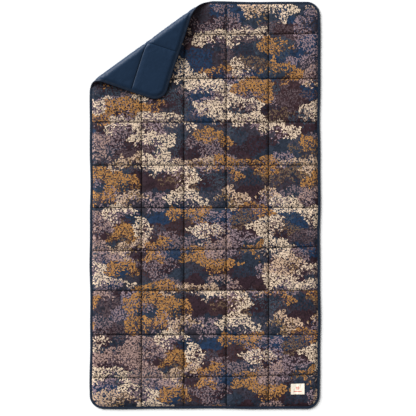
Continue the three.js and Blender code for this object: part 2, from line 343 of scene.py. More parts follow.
def pressed(rise, limit):
    """Puff heights pressed down to a limit, keeping the wrinkles that lie on the broad swell."""
    broad = np.maximum(rise, 0)
    for _ in range(4):
        broad = neighbours(broad, np.mean)
    swell = broad * limit / float(broad.max()) * (1.9 - 0.9 * broad / float(broad.max()))
    clear = from_seam(*coarse_square)
    high = (swell * 0.9 + (rise - broad) * WRINKLE_SHARE) * (1 - np.exp(-clear / 0.009))
    return np.clip(high, 0, limit)


def resampled(field):
    """A field of the coarse grid at the points of the grooved one."""
    i = np.clip(np.searchsorted(coarse_xs, xs) - 1, 0, len(coarse_xs) - 2)
    t = (xs - coarse_xs[i]) / (coarse_xs[i + 1] - coarse_xs[i])
    rows = field[:, i] * (1 - t) + field[:, i + 1] * t
    j = np.clip(np.searchsorted(coarse_ys, ys) - 1, 0, len(coarse_ys) - 2)
    u = ((ys - coarse_ys[j]) / (coarse_ys[j + 1] - coarse_ys[j]))[:, None]
    return rows[j] * (1 - u) + rows[j + 1] * u


def groove(x, y, sunk):
    """Height regained beside a seam: at once out of the thread's pinch, then over the puff's shoulder, which
    is higher by most of what the seam has sunk."""
    clear = from_seam(x, y)
    pinch = GROOVE_DEPTH * (1 - np.exp(-((clear / (0.34 * GROOVE)) ** 1.3)))
    return pinch + (SHOULDER + 0.7 * sunk) * (1 - np.exp(-clear / SHOULDER_REACH))


def sunk_seams(x, y):
    return SETTLE * lying(np.stack([x, y], axis=-1).reshape(-1, 2)).reshape(x.shape)


moves = puffed_by_simulation()
mirrored_moves = moves[:, ::-1] * np.array([-1, 1, 1])
swell = 0.3 * sunk_seams(*coarse_grid) - GROOVE_DEPTH - SHOULDER
face_swell = pressed(moves[..., 2], puff + swell)
lining_swell = pressed(mirrored_moves[..., 2], seam_bottom - GROOVE_DEPTH - SHOULDER - 0.1 * MM)
coarse_face_rise = face_swell + groove(*coarse_square, sunk_seams(*coarse_grid))
coarse_lining_rise = lining_swell + groove(*coarse_square, 0)
face_rise = resampled(face_swell) + groove(*square, sunk_seams(grid_x, grid_y))
lining_rise = resampled(lining_swell) + groove(*square, 0)


def spread_points(x, y, layer_moves):
    """A grid's points as cut, and as sewn and shifted sideways by part of what the puff pulled them."""
    cut = np.stack([x, y], axis=-1).reshape(-1, 2)
    sideways = np.stack([resampled(layer_moves[..., 0]), resampled(layer_moves[..., 1])], axis=-1)
    return cut, sewn(cut) + sideways.reshape(-1, 2) * 0.5


# ------------------------------------------------------------------------------------------------
# Sheets: cut at the roll's lines, laid round it, thickened and parted into a piece for each strip of the roll.


NEAR = 0.05  # a face this close to a line of the roll may be cut by it


def parted(cut, spread, outer, inner, faces, lines=3):
    """The sheet with edges along the roll's lines, as arrays: cut place, flat place, two heights, faces."""
    bm = bmesh.new()
    cut_layer = bm.verts.layers.float_vector.new("cut")
    for (cx, cy), (x, y), top, low in zip(cut, spread, outer, inner):
        bm.verts.new((x, y, top))[cut_layer] = (cx, cy, low)
    bm.verts.ensure_lookup_table()
    for f in faces:
        bm.faces.new([bm.verts[int(i)] for i in f])
    for line in np.arange(0, roll_length + strip / lines / 2, strip / lines):
        here = across * (roll_start + line)
        near = [f for f in bm.faces if abs(f.calc_center_median().xy.dot(across[:2]) - roll_start - line) < NEAR]
        edges = {e for f in near for e in f.edges}
        verts = {v for f in near for v in f.verts}
        bmesh.ops.bisect_plane(
            bm, geom=[*near, *edges, *verts], dist=1e-6, plane_co=here, plane_no=across
        )
    bm.verts.index_update()
    flat = np.array([v.co[:] for v in bm.verts])
    stored = np.array([v[cut_layer][:] for v in bm.verts])
    loops = [[v.index for v in f.verts] for f in bm.faces]
    bm.free()
    return stored[:, :2], flat, stored[:, 2], loops


def corner_normals(points, loops):
    """Smooth normals of a mesh at its points."""
    total = np.zeros_like(points)
    for count in (3, 4, 5, 6):
        rows = [f for f in loops if len(f) == count]
        if rows:
            index = np.array(rows)
            p = points[index]
            normal = np.cross(p[:, 1] - p[:, 0], p[:, 2] - p[:, 0])
            if count > 3:
                normal += np.cross(p[:, 2] - p[:, 0], p[:, 3] - p[:, 0])
            for k in range(count):
                np.add.at(total, index[:, k], normal)
    return total / np.maximum(np.linalg.norm(total, axis=1, keepdims=True), 1e-12)


def painted_seam_shade(x, y):
    """Painted shade beside the seams at points of the cut: 1 on a seam, 0 away from it. It stands in for the
    shade of small gathers too fine for the mesh.
    """
    to_x = np.min([np.abs(x - s) for s in lengthwise.values()], axis=0)
    to_y = np.min([np.abs(y - s) for s in crosswise.values()], axis=0)
    return np.maximum(np.exp(-((to_x / (10 * MM)) ** 2)), np.exp(-((to_y / (7 * MM)) ** 2)))


def closed_piece(name, outer, inner, outer_normals, inner_normals, cut, loops, seam_shade_values=None):
    """One body from two skins with the same faces, joined round their rims. Its UV map is the cut cloth."""
    used = sorted({i for f in loops for i in f})
    number = {v: i for i, v in enumerate(used)}
    count = len(used)
    front = [[number[i] for i in f] for f in loops]
    back = [[i + count for i in reversed(f)] for f in front]
    edges = {}
    for f in front:
        for a, b in zip(f, f[1:] + f[:1]):
            edges[(a, b)] = edges.get((a, b), 0) + 1
    rims = [[b, a, a + count, b + count] for (a, b) in edges if (b, a) not in edges]
    points = np.vstack([outer[used], inner[used]])
    made = make_object(name, points, front + back + rims)
    mesh = made.data
    mesh.polygons.foreach_set("use_smooth", np.ones(len(mesh.polygons), bool))
    cloth = mesh.uv_layers.new(name="cloth")
    vertex = np.zeros(len(mesh.loops), int)
    mesh.loops.foreach_get("vertex_index", vertex)
    places = np.vstack([cut[used], cut[used]])
    cloth.data.foreach_set("uv", places[vertex].astype(np.float32).ravel())
    # Painted shade beside the seams, kept as a point attribute that the face material darkens the print by.
    if seam_shade_values is not None:
        gathered = mesh.attributes.new("gathered", "FLOAT", "POINT")
        gathered.data.foreach_set("value", np.tile(seam_shade_values[used], 2).astype(np.float32))
    normals = np.vstack([outer_normals[used], inner_normals[used]])
    mesh.normals_split_custom_set_from_vertices(normals.tolist())
    return made


def strip_of(flat, loops):
    """The number of the roll's hinges that lie before each face: 0 is the blanket, and the last the corner."""
    centres = np.array([flat[f].mean(axis=0) for f in loops])
    return np.clip(np.floor(past_roll_start(centres) / strip), 0, len(hinges) - 1).astype(int)


def bend_at(piece):
    """Bakes the piece's placement into its mesh."""
    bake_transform(piece)


# ------------------------------------------------------------------------------------------------
# Materials.


def linear(hex_colour):
    """An sRGB hex colour as the linear RGBA that a shader socket takes."""
    channels = [int(hex_colour[i:i + 2], 16) / 255 for i in (1, 3, 5)]
    return (*[c / 12.92 if c <= 0.04045 else ((c + 0.055) / 1.055) ** 2.4 for c in channels], 1.0)


def add(tree, kind, inputs=None, out=None, **settings):
    """Adds one node with its settings and links. Gives the node, or its output number out."""
    made = tree.nodes.new(kind)
    for setting, value in settings.items():
        setattr(made, setting, value)
    for socket, value in (inputs or {}).items():
        if isinstance(value, bpy.types.NodeSocket):
            tree.links.new(value, made.inputs[socket])
        else:
            made.inputs[socket].default_value = value
    return made if out is None else made.outputs[out]


def new_material(name):
    """A material with a Principled shader, as (material, its tree, the shader)."""
    material = bpy.data.materials.new(name)
    material.use_nodes = True
    tree = material.node_tree
    tree.nodes.clear()
    shader = add(tree, "ShaderNodeBsdfPrincipled")
    add(tree, "ShaderNodeOutputMaterial", {0: shader.outputs[0]})
    return material, tree, shader


def set_ramp(ramp_node, stops, interpolation="CONSTANT"):
    """Fills a colour ramp from (place, hex colour) pairs."""
    ramp = ramp_node.color_ramp
    ramp.interpolation = interpolation
    while len(ramp.elements) > 1:
        ramp.elements.remove(ramp.elements[-1])
    for place, hex_colour in stops:
        stop = ramp.elements[0] if place == stops[0][0] else ramp.elements.new(place)
        stop.position = place
        stop.color = linear(hex_colour)


def cloth_millimetres(tree):
    """Where a point lies on the cut cloth, in millimetres."""
    place = add(tree, "ShaderNodeUVMap", uv_map="cloth", out=0)
    return add(tree, "ShaderNodeVectorMath", {0: place, "Scale": 1000.0}, out=0, operation="SCALE")


def woven_bump(tree, shader, place, thread, height, crinkle):
    """Plain weave as crossed ridges one thread apart, over soft crinkles of the finished cloth."""
    tau = 2 * math.pi / thread
    split = add(tree, "ShaderNodeSeparateXYZ", {0: place})
    waves = []
    for axis in (0, 1):
        turned = add(tree, "ShaderNodeMath", {0: split.outputs[axis], 1: tau}, out=0, operation="MULTIPLY")
        waves.append(add(tree, "ShaderNodeMath", {0: turned}, out=0, operation="SINE"))
    weave = add(tree, "ShaderNodeMath", {0: waves[0], 1: waves[1]}, out=0, operation="MULTIPLY")
    noise = add(tree, "ShaderNodeTexNoise",
                {"Vector": place, "Scale": 0.09, "Detail": 3.0, "Roughness": 0.55}, out=0)
    soft = add(tree, "ShaderNodeBump", {"Strength": 1.0, "Distance": crinkle * MM, "Height": noise}, out=0)
    fine = add(tree, "ShaderNodeBump",
               {"Strength": 0.6, "Distance": height * MM, "Height": weave, "Normal": soft}, out=0)
    tree.links.new(fine, shader.inputs["Normal"])


def leaf_dabs(tree, place, shift, spacing, length, width):
    """Scattered leaf-shaped dabs, as (1 inside a dab, the dab's own place, its three random numbers)."""
    moved = add(tree, "ShaderNodeVectorMath", {0: place, 1: shift}, out=0, operation="ADD")
    cells = add(tree, "ShaderNodeTexVoronoi",
                {"Vector": moved, "Scale": 1 / spacing, "Randomness": 1.0}, voronoi_dimensions="2D")
    centre = cells.outputs["Position"]
    offset = add(tree, "ShaderNodeVectorMath", {0: moved, 1: centre}, out=0, operation="SUBTRACT")
    chance = add(tree, "ShaderNodeSeparateColor", {0: cells.outputs["Color"]})
    lean = add(tree, "ShaderNodeTexNoise", {"Vector": centre, "Scale": 1 / 60, "Detail": 0.0}, out=0,
               noise_dimensions="2D")
    flow = add(tree, "ShaderNodeMath", {0: lean, 1: 9.0, 2: -4.5}, out=0, operation="MULTIPLY_ADD")
    angle = add(tree, "ShaderNodeMath", {0: chance.outputs[0], 1: 1.5, 2: flow}, out=0,
                operation="MULTIPLY_ADD")
    turned = add(tree, "ShaderNodeVectorRotate", {"Vector": offset, "Angle": angle}, out=0,
                 rotation_type="Z_AXIS")
    split = add(tree, "ShaderNodeSeparateXYZ", {0: turned})
    x = add(tree, "ShaderNodeMath", {0: split.outputs[0], 1: 2 / length}, out=0, operation="MULTIPLY")
    x2 = add(tree, "ShaderNodeMath", {0: x, 1: x}, out=0, operation="MULTIPLY")
    y = add(tree, "ShaderNodeMath", {0: split.outputs[1]}, out=0, operation="ABSOLUTE")
    edge = add(tree, "ShaderNodeMath", {0: y, 1: 2 / width, 2: x2}, out=0, operation="MULTIPLY_ADD")
    inside = add(tree, "ShaderNodeMath", {0: edge, 1: 1.0}, out=0, operation="LESS_THAN")
    own_place = add(tree, "ShaderNodeVectorMath", {0: centre, 1: shift}, out=0, operation="SUBTRACT")
    return inside, own_place, chance


def hills(tree, place, shift, width, height, ragged):
    """Overlapping arched clumps of foliage, wider than high: (two random numbers, height in the clump)."""
    warp = add(tree, "ShaderNodeTexNoise", {"Vector": place, "Scale": 1 / 60, "Detail": 2.0}, out=1,
               noise_dimensions="2D")
    centred = add(tree, "ShaderNodeVectorMath", {0: warp, 1: (0.5, 0.5, 0.5)}, out=0, operation="SUBTRACT")
    pushed = add(tree, "ShaderNodeVectorMath", {0: centred, 1: (ragged, ragged * 0.7, 0), 2: place}, out=0,
                 operation="MULTIPLY_ADD")
    shifted = add(tree, "ShaderNodeVectorMath", {0: pushed, 1: shift}, out=0, operation="ADD")
    shrunk = add(tree, "ShaderNodeVectorMath", {0: shifted, 1: (1 / width, 1 / height, 0)}, out=0,
                 operation="MULTIPLY")
    cells = add(tree, "ShaderNodeTexVoronoi", {"Vector": shrunk, "Scale": 1.0, "Randomness": 0.9},
                voronoi_dimensions="2D")
    offset = add(tree, "ShaderNodeVectorMath", {0: shrunk, 1: cells.outputs["Position"]}, out=0,
                 operation="SUBTRACT")
    random = add(tree, "ShaderNodeSeparateColor", {0: cells.outputs["Color"]})
    tilt = add(tree, "ShaderNodeMath", {0: random.outputs[2], 1: 2.0, 2: -1.0}, out=0,
               operation="MULTIPLY_ADD")
    turned = add(tree, "ShaderNodeVectorRotate", {"Vector": offset, "Angle": tilt}, out=0,
                 rotation_type="Z_AXIS")
    split = add(tree, "ShaderNodeSeparateXYZ", {0: turned})
    x2 = add(tree, "ShaderNodeMath", {0: split.outputs[0], 1: split.outputs[0]}, out=0, operation="MULTIPLY")
    crest = add(tree, "ShaderNodeMath", {0: x2, 1: 1.9, 2: split.outputs[1]}, out=0, operation="MULTIPLY_ADD")
    return random.outputs[0], random.outputs[1], crest


GROUND_INKS = (  # the dark cloth between the leaves: share of the hills, and colour
    (0.0, "#252c3a"), (0.24, "#2f1f27"), (0.48, "#34303a"), (0.60, "#1e324d"), (0.69, "#3a272b"),
    (0.86, "#2c3442"),
)
MUTED_INKS = (  # the dull leaves of the far hills
    (0.0, "#7b686c"), (0.26, "#56474b"), (0.42, "#39434f"), (0.53, "#8a767c"), (0.76, "#675342"),
    (0.9, "#474049"),
)
BRIGHT_INKS = (  # the leaves that catch the light, along the crest of a near hill
    (0.0, "#d6bfa6"), (0.42, "#a67743"), (0.64, "#9c8179"), (0.80, "#c0a38a"),
)
SHADE_INKS = (  # and below its crest
    (0.0, "#ab9384"), (0.22, "#8c747b"), (0.42, "#7c5a36"), (0.54, "#5f4746"), (0.64, "#6f5e64"),
    (0.80, "#8f7250"),
)


def inked(tree, random, stops):
    ramp = add(tree, "ShaderNodeValToRGB", {0: random})
    set_ramp(ramp, stops)
    return ramp.outputs[0]


def toned(tree, colour, random, low, high):
    """The colour made lighter or darker by a dab's own random number."""
    tone = add(tree, "ShaderNodeMath", {0: random, 1: high - low, 2: low}, out=0, operation="MULTIPLY_ADD")
    return add(tree, "ShaderNodeHueSaturation", {"Value": tone, "Color": colour}, out=0)


def foliage(tree, place, colour, dabs, clumps, inks, bare, reach):
    """One printing of leaf dabs over a colour. The share bare of its clumps gets none, and within a clump
    the dabs thin out from the upper height in reach to the lower one."""
    inside, own, chance = leaf_dabs(tree, place, *dabs)
    random, second, crest = hills(tree, own, *clumps)
    jitter = add(tree, "ShaderNodeMath", {0: chance.outputs[1], 1: 0.75, 2: crest}, out=0,
                 operation="MULTIPLY_ADD")
    on_crest = add(tree, "ShaderNodeMath", {0: jitter, 1: 0.42}, out=0, operation="GREATER_THAN")
    leaf = add(tree, "ShaderNodeMix",
               {0: on_crest, 6: inked(tree, random, inks[1]), 7: inked(tree, random, inks[0])}, out=2,
               data_type="RGBA")
    crowd = add(tree, "ShaderNodeMapRange",
                {"Value": crest, "From Min": reach[0], "From Max": reach[1], "To Min": 0.0, "To Max": 0.8},
                out=0)
    grown = add(tree, "ShaderNodeMath", {0: second, 1: bare}, out=0, operation="GREATER_THAN")
    share = add(tree, "ShaderNodeMath", {0: crowd, 1: grown}, out=0, operation="MULTIPLY")
    picked = add(tree, "ShaderNodeMath", {0: chance.outputs[2], 1: share}, out=0, operation="LESS_THAN")
    shown = add(tree, "ShaderNodeMath", {0: picked, 1: inside}, out=0, operation="MULTIPLY")
    return add(tree, "ShaderNodeMix",
               {0: shown, 6: colour, 7: toned(tree, leaf, chance.outputs[1], 0.68, 1.2)}, out=2,
               data_type="RGBA")


def printed_taffeta():
    """Polyester taffeta with a leafy camouflage print: matt inks over a faint gloss of the weave, in small leaf
    dabs that crowd along the tops of broad low hills. Beside the seams the colour is darkened by painted shade,
    which stands in for small gathers shading each other."""
    material, tree, shader = new_material("printed_polyester_taffeta")
    place = cloth_millimetres(tree)
    inside, own, chance = leaf_dabs(tree, place, (0, 0, 0), 8, 16, 10)
    random, second, crest = hills(tree, own, (913, 377, 0), 135, 78, 70)
    colour = toned(tree, inked(tree, random, GROUND_INKS), chance.outputs[1], 0.5, 1.2)
    far = ((511, 177, 0), 150, 88, 90)
    near = ((0, 0, 0), 150, 84, 95)
    for shift in ((31, 57, 0), (149, 91, 0)):
        colour = foliage(tree, place, colour, (shift, 10, 14, 5.2), far, (MUTED_INKS, MUTED_INKS), 0.15,
                         (-0.35, 0.3))
    for shift in ((171, 23, 0), (77, 211, 0), (263, 305, 0)):
        colour = foliage(tree, place, colour, (shift, 10.5, 15, 5.2), near, (BRIGHT_INKS, SHADE_INKS), 0.27,
                         (-0.36, 0.3))
    gaps = ((419, 143, 0), 11, 11, 4.2)
    colour = foliage(tree, place, colour, gaps, far, (GROUND_INKS, GROUND_INKS), 0, (-2.5, 0.5))
    # Painted shade: the print is darkened by up to 30% beside the seams, standing in for the shade of gathers
    # too fine for the mesh.
    seam_shade_mask = add(tree, "ShaderNodeAttribute", {}, out=2, attribute_name="gathered")
    shade_darkening = add(tree, "ShaderNodeMath", {0: seam_shade_mask, 1: -0.3, 2: 1.0}, out=0, operation="MULTIPLY_ADD")
    colour = add(tree, "ShaderNodeHueSaturation", {"Value": shade_darkening, "Color": colour}, out=0)
    tree.links.new(colour, shader.inputs["Base Color"])
    shader.inputs["Roughness"].default_value = 0.62
    shader.inputs["Specular IOR Level"].default_value = 0.14
    woven_bump(tree, shader, place, thread=0.8, height=0.05, crinkle=1.2)
    return material


def dyed_taffeta(name, hex_colour, roughness, crinkle, uneven):
    """Piece-dyed polyester: one deep colour with a slight unevenness and a soft sheen off the weave."""
    material, tree, shader = new_material(name)
    place = cloth_millimetres(tree)
    noise = add(tree, "ShaderNodeTexNoise", {"Vector": place, "Scale": 0.02, "Detail": 4.0}, out=0)
    tone = add(tree, "ShaderNodeMath", {0: noise, 1: uneven, 2: 1 - uneven / 2}, out=0,
               operation="MULTIPLY_ADD")
    colour = add(tree, "ShaderNodeHueSaturation", {"Value": tone, "Color": linear(hex_colour)}, out=0)
    tree.links.new(colour, shader.inputs["Base Color"])
    shader.inputs["Roughness"].default_value = roughness
    shader.inputs["Specular IOR Level"].default_value = 0.2
    woven_bump(tree, shader, place, thread=0.8, height=0.05, crinkle=crinkle)
    return material


def fibre(name, hex_colour, roughness):
    """Spun thread or batting: matt, with the fine unevenness of loose fibres."""
    material, tree, shader = new_material(name)
    place = add(tree, "ShaderNodeTexCoord", out=3)
    noise = add(tree, "ShaderNodeTexNoise", {"Vector": place, "Scale": 900.0, "Detail": 2.0}, out=0)
    tone = add(tree, "ShaderNodeMath", {0: noise, 1: 0.5, 2: 0.75}, out=0, operation="MULTIPLY_ADD")
    colour = add(tree, "ShaderNodeHueSaturation", {"Value": tone, "Color": linear(hex_colour)}, out=0)
    tree.links.new(colour, shader.inputs["Base Color"])
    shader.inputs["Roughness"].default_value = roughness
    bump = add(tree, "ShaderNodeBump", {"Strength": 0.4, "Distance": 0.2 * MM, "Height": noise}, out=0)
    tree.links.new(bump, shader.inputs["Normal"])
    return material


face_cloth = printed_taffeta()
lining_cloth = dyed_taffeta("dyed_polyester_taffeta", "#172c44", 0.46, 0.9, 0.12)
binding_cloth = dyed_taffeta("polyester_bias_tape", "#142234", 0.6, 0.5, 0.1)
batting_fibre = fibre("polyester_batting", "#efece4", 0.95)
navy_thread = fibre("spun_polyester_thread", "#141f2e", 0.65)
label_thread = fibre("spun_polyester_label_thread", "#d6c6aa", 0.7)

# ------------------------------------------------------------------------------------------------
# The three layers.

face_cut, face_spread = spread_points(grid_x, grid_y, moves)
lining_cut, lining_spread = spread_points(grid_x, grid_y, mirrored_moves)
grid_faces = quads(*grid_x.shape)
STRIP_NAMES = ("", "_roll_1", "_roll_2", "_corner")
NODE_PREFIXES = (("",), ("fold_1_",), ("fold_2_", "fold_3_"), ("corner_",))
LOWER_SHIFT = np.array([0.242, -0.591])  # the lower panel was cut from another place on the roll


def lay_sheet(word, cut, spread, height, faces, thickness, material, node):
    """A fabric layer, thickened inwards and parted into a piece for each strip of the roll."""
    inside_roll = node == "face"
    cut, flat, _, loops = parted(cut, spread, height, height, faces, 10 if inside_roll else 3)
    if inside_roll:
        flat[:, 2] += creased(flat)
    skin = turned_back(flat)
    normals = corner_normals(skin, loops)
    inner = skin - normals * thickness
    strips = strip_of(flat, loops)
    for k, ending in enumerate(STRIP_NAMES):
        part = [f for f, s in zip(loops, strips) if s == k]
        groups = {word + ending: part}
        if word == "printed_face" and k == 0:
            lower = np.array([cut[f, 1].mean() < panel_join for f in part])
            groups = {
                "printed_face_upper": [f for f, low in zip(part, lower) if not low],
                "printed_face_lower": [f for f, low in zip(part, lower) if low],
            }
        for name, chosen in groups.items():
            low_panel = name == "printed_face_lower"
            pattern = cut - LOWER_SHIFT if low_panel else cut
            # Painted shade beside the seams, for the printed face only.
            seam_shade_values = painted_seam_shade(*cut.T) if inside_roll else None
            piece = closed_piece(name, skin, inner, normals, -normals, pattern, chosen, seam_shade_values)
            piece.data.materials.append(material)
            if low_panel:
                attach(piece, chain[0])
            else:
                bend_at(piece)
            nodes = [prefix + node for prefix in NODE_PREFIXES[k]]
            if node == "face" and k == 0:
                nodes = ["face_lower_panel" if low_panel else "face_upper_panel"]
            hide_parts(*nodes)


def lay_batting():
    """The batting: every other line of the coarse grid, a little inside both fabrics."""
    rows, columns = coarse_grid[0].shape
    keep = np.arange(rows * columns).reshape(rows, columns)[::2, ::2]
    gap = FABRIC + CLEARANCE
    cut = np.stack(coarse_grid, axis=-1).reshape(-1, 2)[keep.ravel()]
    top = neighbours(neighbours(coarse_face_rise, np.min), np.min).ravel()[keep.ravel()]
    low = neighbours(neighbours(coarse_lining_rise, np.min), np.min).ravel()[keep.ravel()]
    top = seam_top + top * (1 - ROLL_SQUEEZE * in_roll(sewn(cut))) - gap - sag(cut)
    low = np.maximum(seam_bottom - low - sag(cut), 0.3 * MM) + gap
    spread = sewn(cut)
    inset = np.maximum(1 - 2.5 * MM / np.maximum(np.abs(cut), 0.1), 0)
    spread = np.where(from_edge(cut[:, 0], cut[:, 1])[:, None] < 3 * MM, spread * inset, spread)
    cut, flat, bottom, loops = parted(cut, spread, top, low, quads(*keep.shape))
    centre = (flat[:, 2] + bottom) / 2
    half = (flat[:, 2] - bottom) / 2
    upper = turned_back(np.column_stack([flat[:, :2], centre + half]))
    lower = turned_back(np.column_stack([flat[:, :2], centre - half]))
    upper_normals = corner_normals(upper, loops)
    lower_normals = -corner_normals(lower, loops)
    strips = strip_of(flat, loops)
    made = []
    for k, ending in enumerate(STRIP_NAMES):
        part = [f for f, s in zip(loops, strips) if s == k]
        piece = closed_piece("batting" + ending, upper, lower, upper_normals, lower_normals, cut, part)
        piece.data.materials.append(batting_fibre)
        bend_at(piece)
        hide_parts(*[prefix + "fill" for prefix in NODE_PREFIXES[k]])
        made.append(piece)
    return made


batting = lay_batting()
face_height = seam_top + face_rise.ravel() * (1 - 0.8 * ROLL_SQUEEZE * in_roll(face_spread)) - sag(face_cut)
lay_sheet(
    "printed_face", face_cut, face_spread, face_height, grid_faces, FABRIC,
    face_cloth, "face",
)
lining_height = np.maximum(seam_bottom - lining_rise.ravel() - sag(lining_cut), 0.15 * MM)
lay_sheet(
    "lining_cloth", lining_cut, lining_spread, lining_height, grid_faces[:, ::-1], FABRIC,
    lining_cloth, "lining",
)

# ------------------------------------------------------------------------------------------------
# The binding.


def outline_points(inset, spacing):
    """Points round the rounded outline moved in by inset, and the outward direction at each."""
    radius = CORNER_RADIUS - inset
    cx, cy = half_width - CORNER_RADIUS, half_length - CORNER_RADIUS
    points, outward = [], []
    for turn, (x, y) in enumerate(((cx, cy), (-cx, cy), (-cx, -cy), (cx, -cy))):
        steps = max(10, round(radius * math.pi / 2 / spacing))
        for i in range(steps + 1):
            angle = (turn + i / steps) * math.pi / 2
            direction = np.array([math.cos(angle), math.sin(angle)])
            points.append(np.array([x, y]) + direction * radius)
            outward.append(direction)
        run = 2 * cx if turn % 2 == 0 else 2 * cy
        count = round(run / spacing)
        heading = np.array([-outward[-1][1], outward[-1][0]])
        start = points[-1]
        for i in range(1, count):
            points.append(start + heading * run * i / count)
            outward.append(outward[-1])
    return np.array(points), np.array(outward)


def lay_binding():
    """The folded tape: a soft channel over the edge, with a slight pucker at its stitches."""
    points, outward = outline_points(0, 6 * MM)
    half = (seam_top - seam_bottom) / 2 + BINDING_TAPE + CLEARANCE
    turns = np.linspace(-90, 90, 7)
    edge = [(2.6 * MM * (1 - math.cos(math.radians(t))), half * math.sin(math.radians(t))) for t in turns]
    inner = [
        (BINDING_WIDTH, -half + 0.4 * MM), (BINDING_WIDTH * 0.82, -half + 0.1 * MM),
        (BINDING_WIDTH * 0.5, -half * 1.06),
    ]
    section = np.array(inner + edge + [(d, -h) for d, h in reversed(inner)])
    length = np.concatenate([[0], np.cumsum(np.linalg.norm(np.diff(points, axis=0), axis=1))])
    pucker = 0.25 * MM * (np.sin(length / 0.0052) + 0.6 * np.sin(length / 0.0031 + 1))
    ring, side = len(points), len(section)
    cut, heights = [], []
    for j, (depth, height) in enumerate(section):
        cut.append(points - outward * depth)
        heights.append(middle + height + np.sign(height) * pucker * (depth > 1 * MM))
    cut = np.stack(cut, axis=1).reshape(-1, 2)
    heights = np.stack(heights, axis=1).reshape(-1)
    index = np.arange(ring * side).reshape(ring, side)
    ahead = np.roll(index, -1, axis=0)
    faces = np.stack([index[:, :-1], ahead[:, :-1], ahead[:, 1:], index[:, 1:]], axis=-1).reshape(-1, 4)
    heights = heights - sag(cut)
    girth = np.concatenate([[0], np.cumsum(np.linalg.norm(np.diff(section, axis=0), axis=1))])
    unrolled = np.stack([np.repeat(length, side), np.tile(girth, ring)], axis=1)
    tape, flat, _, loops = parted(unrolled, sewn(cut), heights, heights, faces)
    skin = turned_back(flat)
    normals = corner_normals(skin, loops)
    inner_skin = skin - normals * BINDING_TAPE
    strips = strip_of(flat, loops)
    centres = np.array([flat[f].mean(axis=0) for f in loops])
    at_head = centres @ along > roll_middle
    for k, ending in enumerate(STRIP_NAMES):
        ends = (("", None),) if k in (0, 3) else (("_side", False), ("_head", True))
        for end, head in ends:
            part = [f for f, s, h in zip(loops, strips, at_head) if s == k and head in (None, h)]
            piece = closed_piece(f"binding_tape{ending}{end}", skin, inner_skin, normals, -normals, tape, part)
            piece.data.materials.append(binding_cloth)
            bend_at(piece)
            word = f"binding{end}" if end else "edge_binding"
            nodes = [prefix + word for prefix in NODE_PREFIXES[k]]
            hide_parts(*nodes)


lay_binding()

# ------------------------------------------------------------------------------------------------
# Stitches.


def stitch_tree():
    """A row of stitches along an edge path: one small spindle of thread for each stitch."""
    tree = bpy.data.node_groups.new("row_of_stitches", "GeometryNodeTree")
    tree.interface.new_socket("Path", in_out="INPUT", socket_type="NodeSocketGeometry")
    for name in ("Pitch", "Stitch Length", "Thread Thickness"):
        tree.interface.new_socket(name, in_out="INPUT", socket_type="NodeSocketFloat")
    tree.interface.new_socket("Thread", in_out="INPUT", socket_type="NodeSocketMaterial")
    tree.interface.new_socket("Stitches", in_out="OUTPUT", socket_type="NodeSocketGeometry")
    given = add(tree, "NodeGroupInput")
    curve = add(tree, "GeometryNodeMeshToCurve", {0: given.outputs["Path"]}, out=0)
    spaced = add(tree, "GeometryNodeResampleCurve", {"Curve": curve, "Length": given.outputs["Pitch"]}, out=0,
                 mode="LENGTH")
    tangent = add(tree, "GeometryNodeInputTangent", out=0)
    turned = add(tree, "FunctionNodeAlignRotationToVector", {"Vector": tangent}, out=0, axis="Z")
    ball = add(tree, "GeometryNodeMeshUVSphere", {"Segments": 6, "Rings": 4, "Radius": 0.5}, out=0)
    size = add(tree, "ShaderNodeCombineXYZ", {
        0: given.outputs["Thread Thickness"], 1: given.outputs["Thread Thickness"],
        2: given.outputs["Stitch Length"],
    }, out=0)
    rows = add(tree, "GeometryNodeInstanceOnPoints",
               {"Points": spaced, "Instance": ball, "Rotation": turned, "Scale": size}, out=0)
    real = add(tree, "GeometryNodeRealizeInstances", {0: rows}, out=0)
    made = add(tree, "GeometryNodeSetMaterial",
               {"Geometry": real, "Material": given.outputs["Thread"]}, out=0)
    add(tree, "NodeGroupOutput", {0: made})
    return tree


stitches_tree = stitch_tree()


def sew(name, paths, pitch, length, thickness, thread):
    """Stitches along paths of points, as one plain mesh, or nothing if no path is long enough."""
    paths = [p for p in paths if len(p) > 1]
    if not paths:
        return None
    points = np.vstack(paths)
    starts = np.cumsum([0] + [len(p) for p in paths])
    edges = [(i, i + 1) for a, b in zip(starts, starts[1:]) for i in range(a, b - 1)]
    mesh = bpy.data.meshes.new(name + "_path")
    mesh.from_pydata(points.tolist(), edges, [])
    path = bpy.data.objects.new(name + "_path", mesh)
    bpy.context.scene.collection.objects.link(path)
    modifier = path.modifiers.new("stitches", "NODES")
    modifier.node_group = stitches_tree
    values = {"Pitch": pitch, "Stitch Length": length, "Thread Thickness": thickness, "Thread": thread}
    for item in stitches_tree.interface.items_tree:
        if item.name in values:
            modifier[item.identifier] = values[item.name]
    graph = bpy.context.evaluated_depsgraph_get()
    plain = bpy.data.meshes.new_from_object(path.evaluated_get(graph))
    bpy.data.objects.remove(path)
    plain.name = name
    plain.polygons.foreach_set("use_smooth", np.ones(len(plain.polygons), bool))
    made = bpy.data.objects.new(name, plain)
    bpy.context.scene.collection.objects.link(made)
    return made


SHORTEST_RUN = 6  # path points, 1.5 mm apart: less than this holds no whole stitch


def split_path(flat):
    """A flat path as its runs between the roll's lines, {strip number: [laid runs]}."""
    number = np.clip(np.floor(past_roll_start(flat) / strip), 0, len(hinges) - 1).astype(int)
    laid = turned_back(flat)
    runs = {}
    start = 0
    for i in range(1, len(flat) + 1):
        if i == len(flat) or number[i] != number[start]:
            runs.setdefault(int(number[start]), []).append(laid[start:i])
            start = i
    return runs


def straight(a, b):
    count = max(2, round(float(np.linalg.norm(np.subtract(b, a))) / (1.5 * MM)))
    return np.array([np.add(a, np.subtract(b, a) * i / count) for i in range(count + 1)])


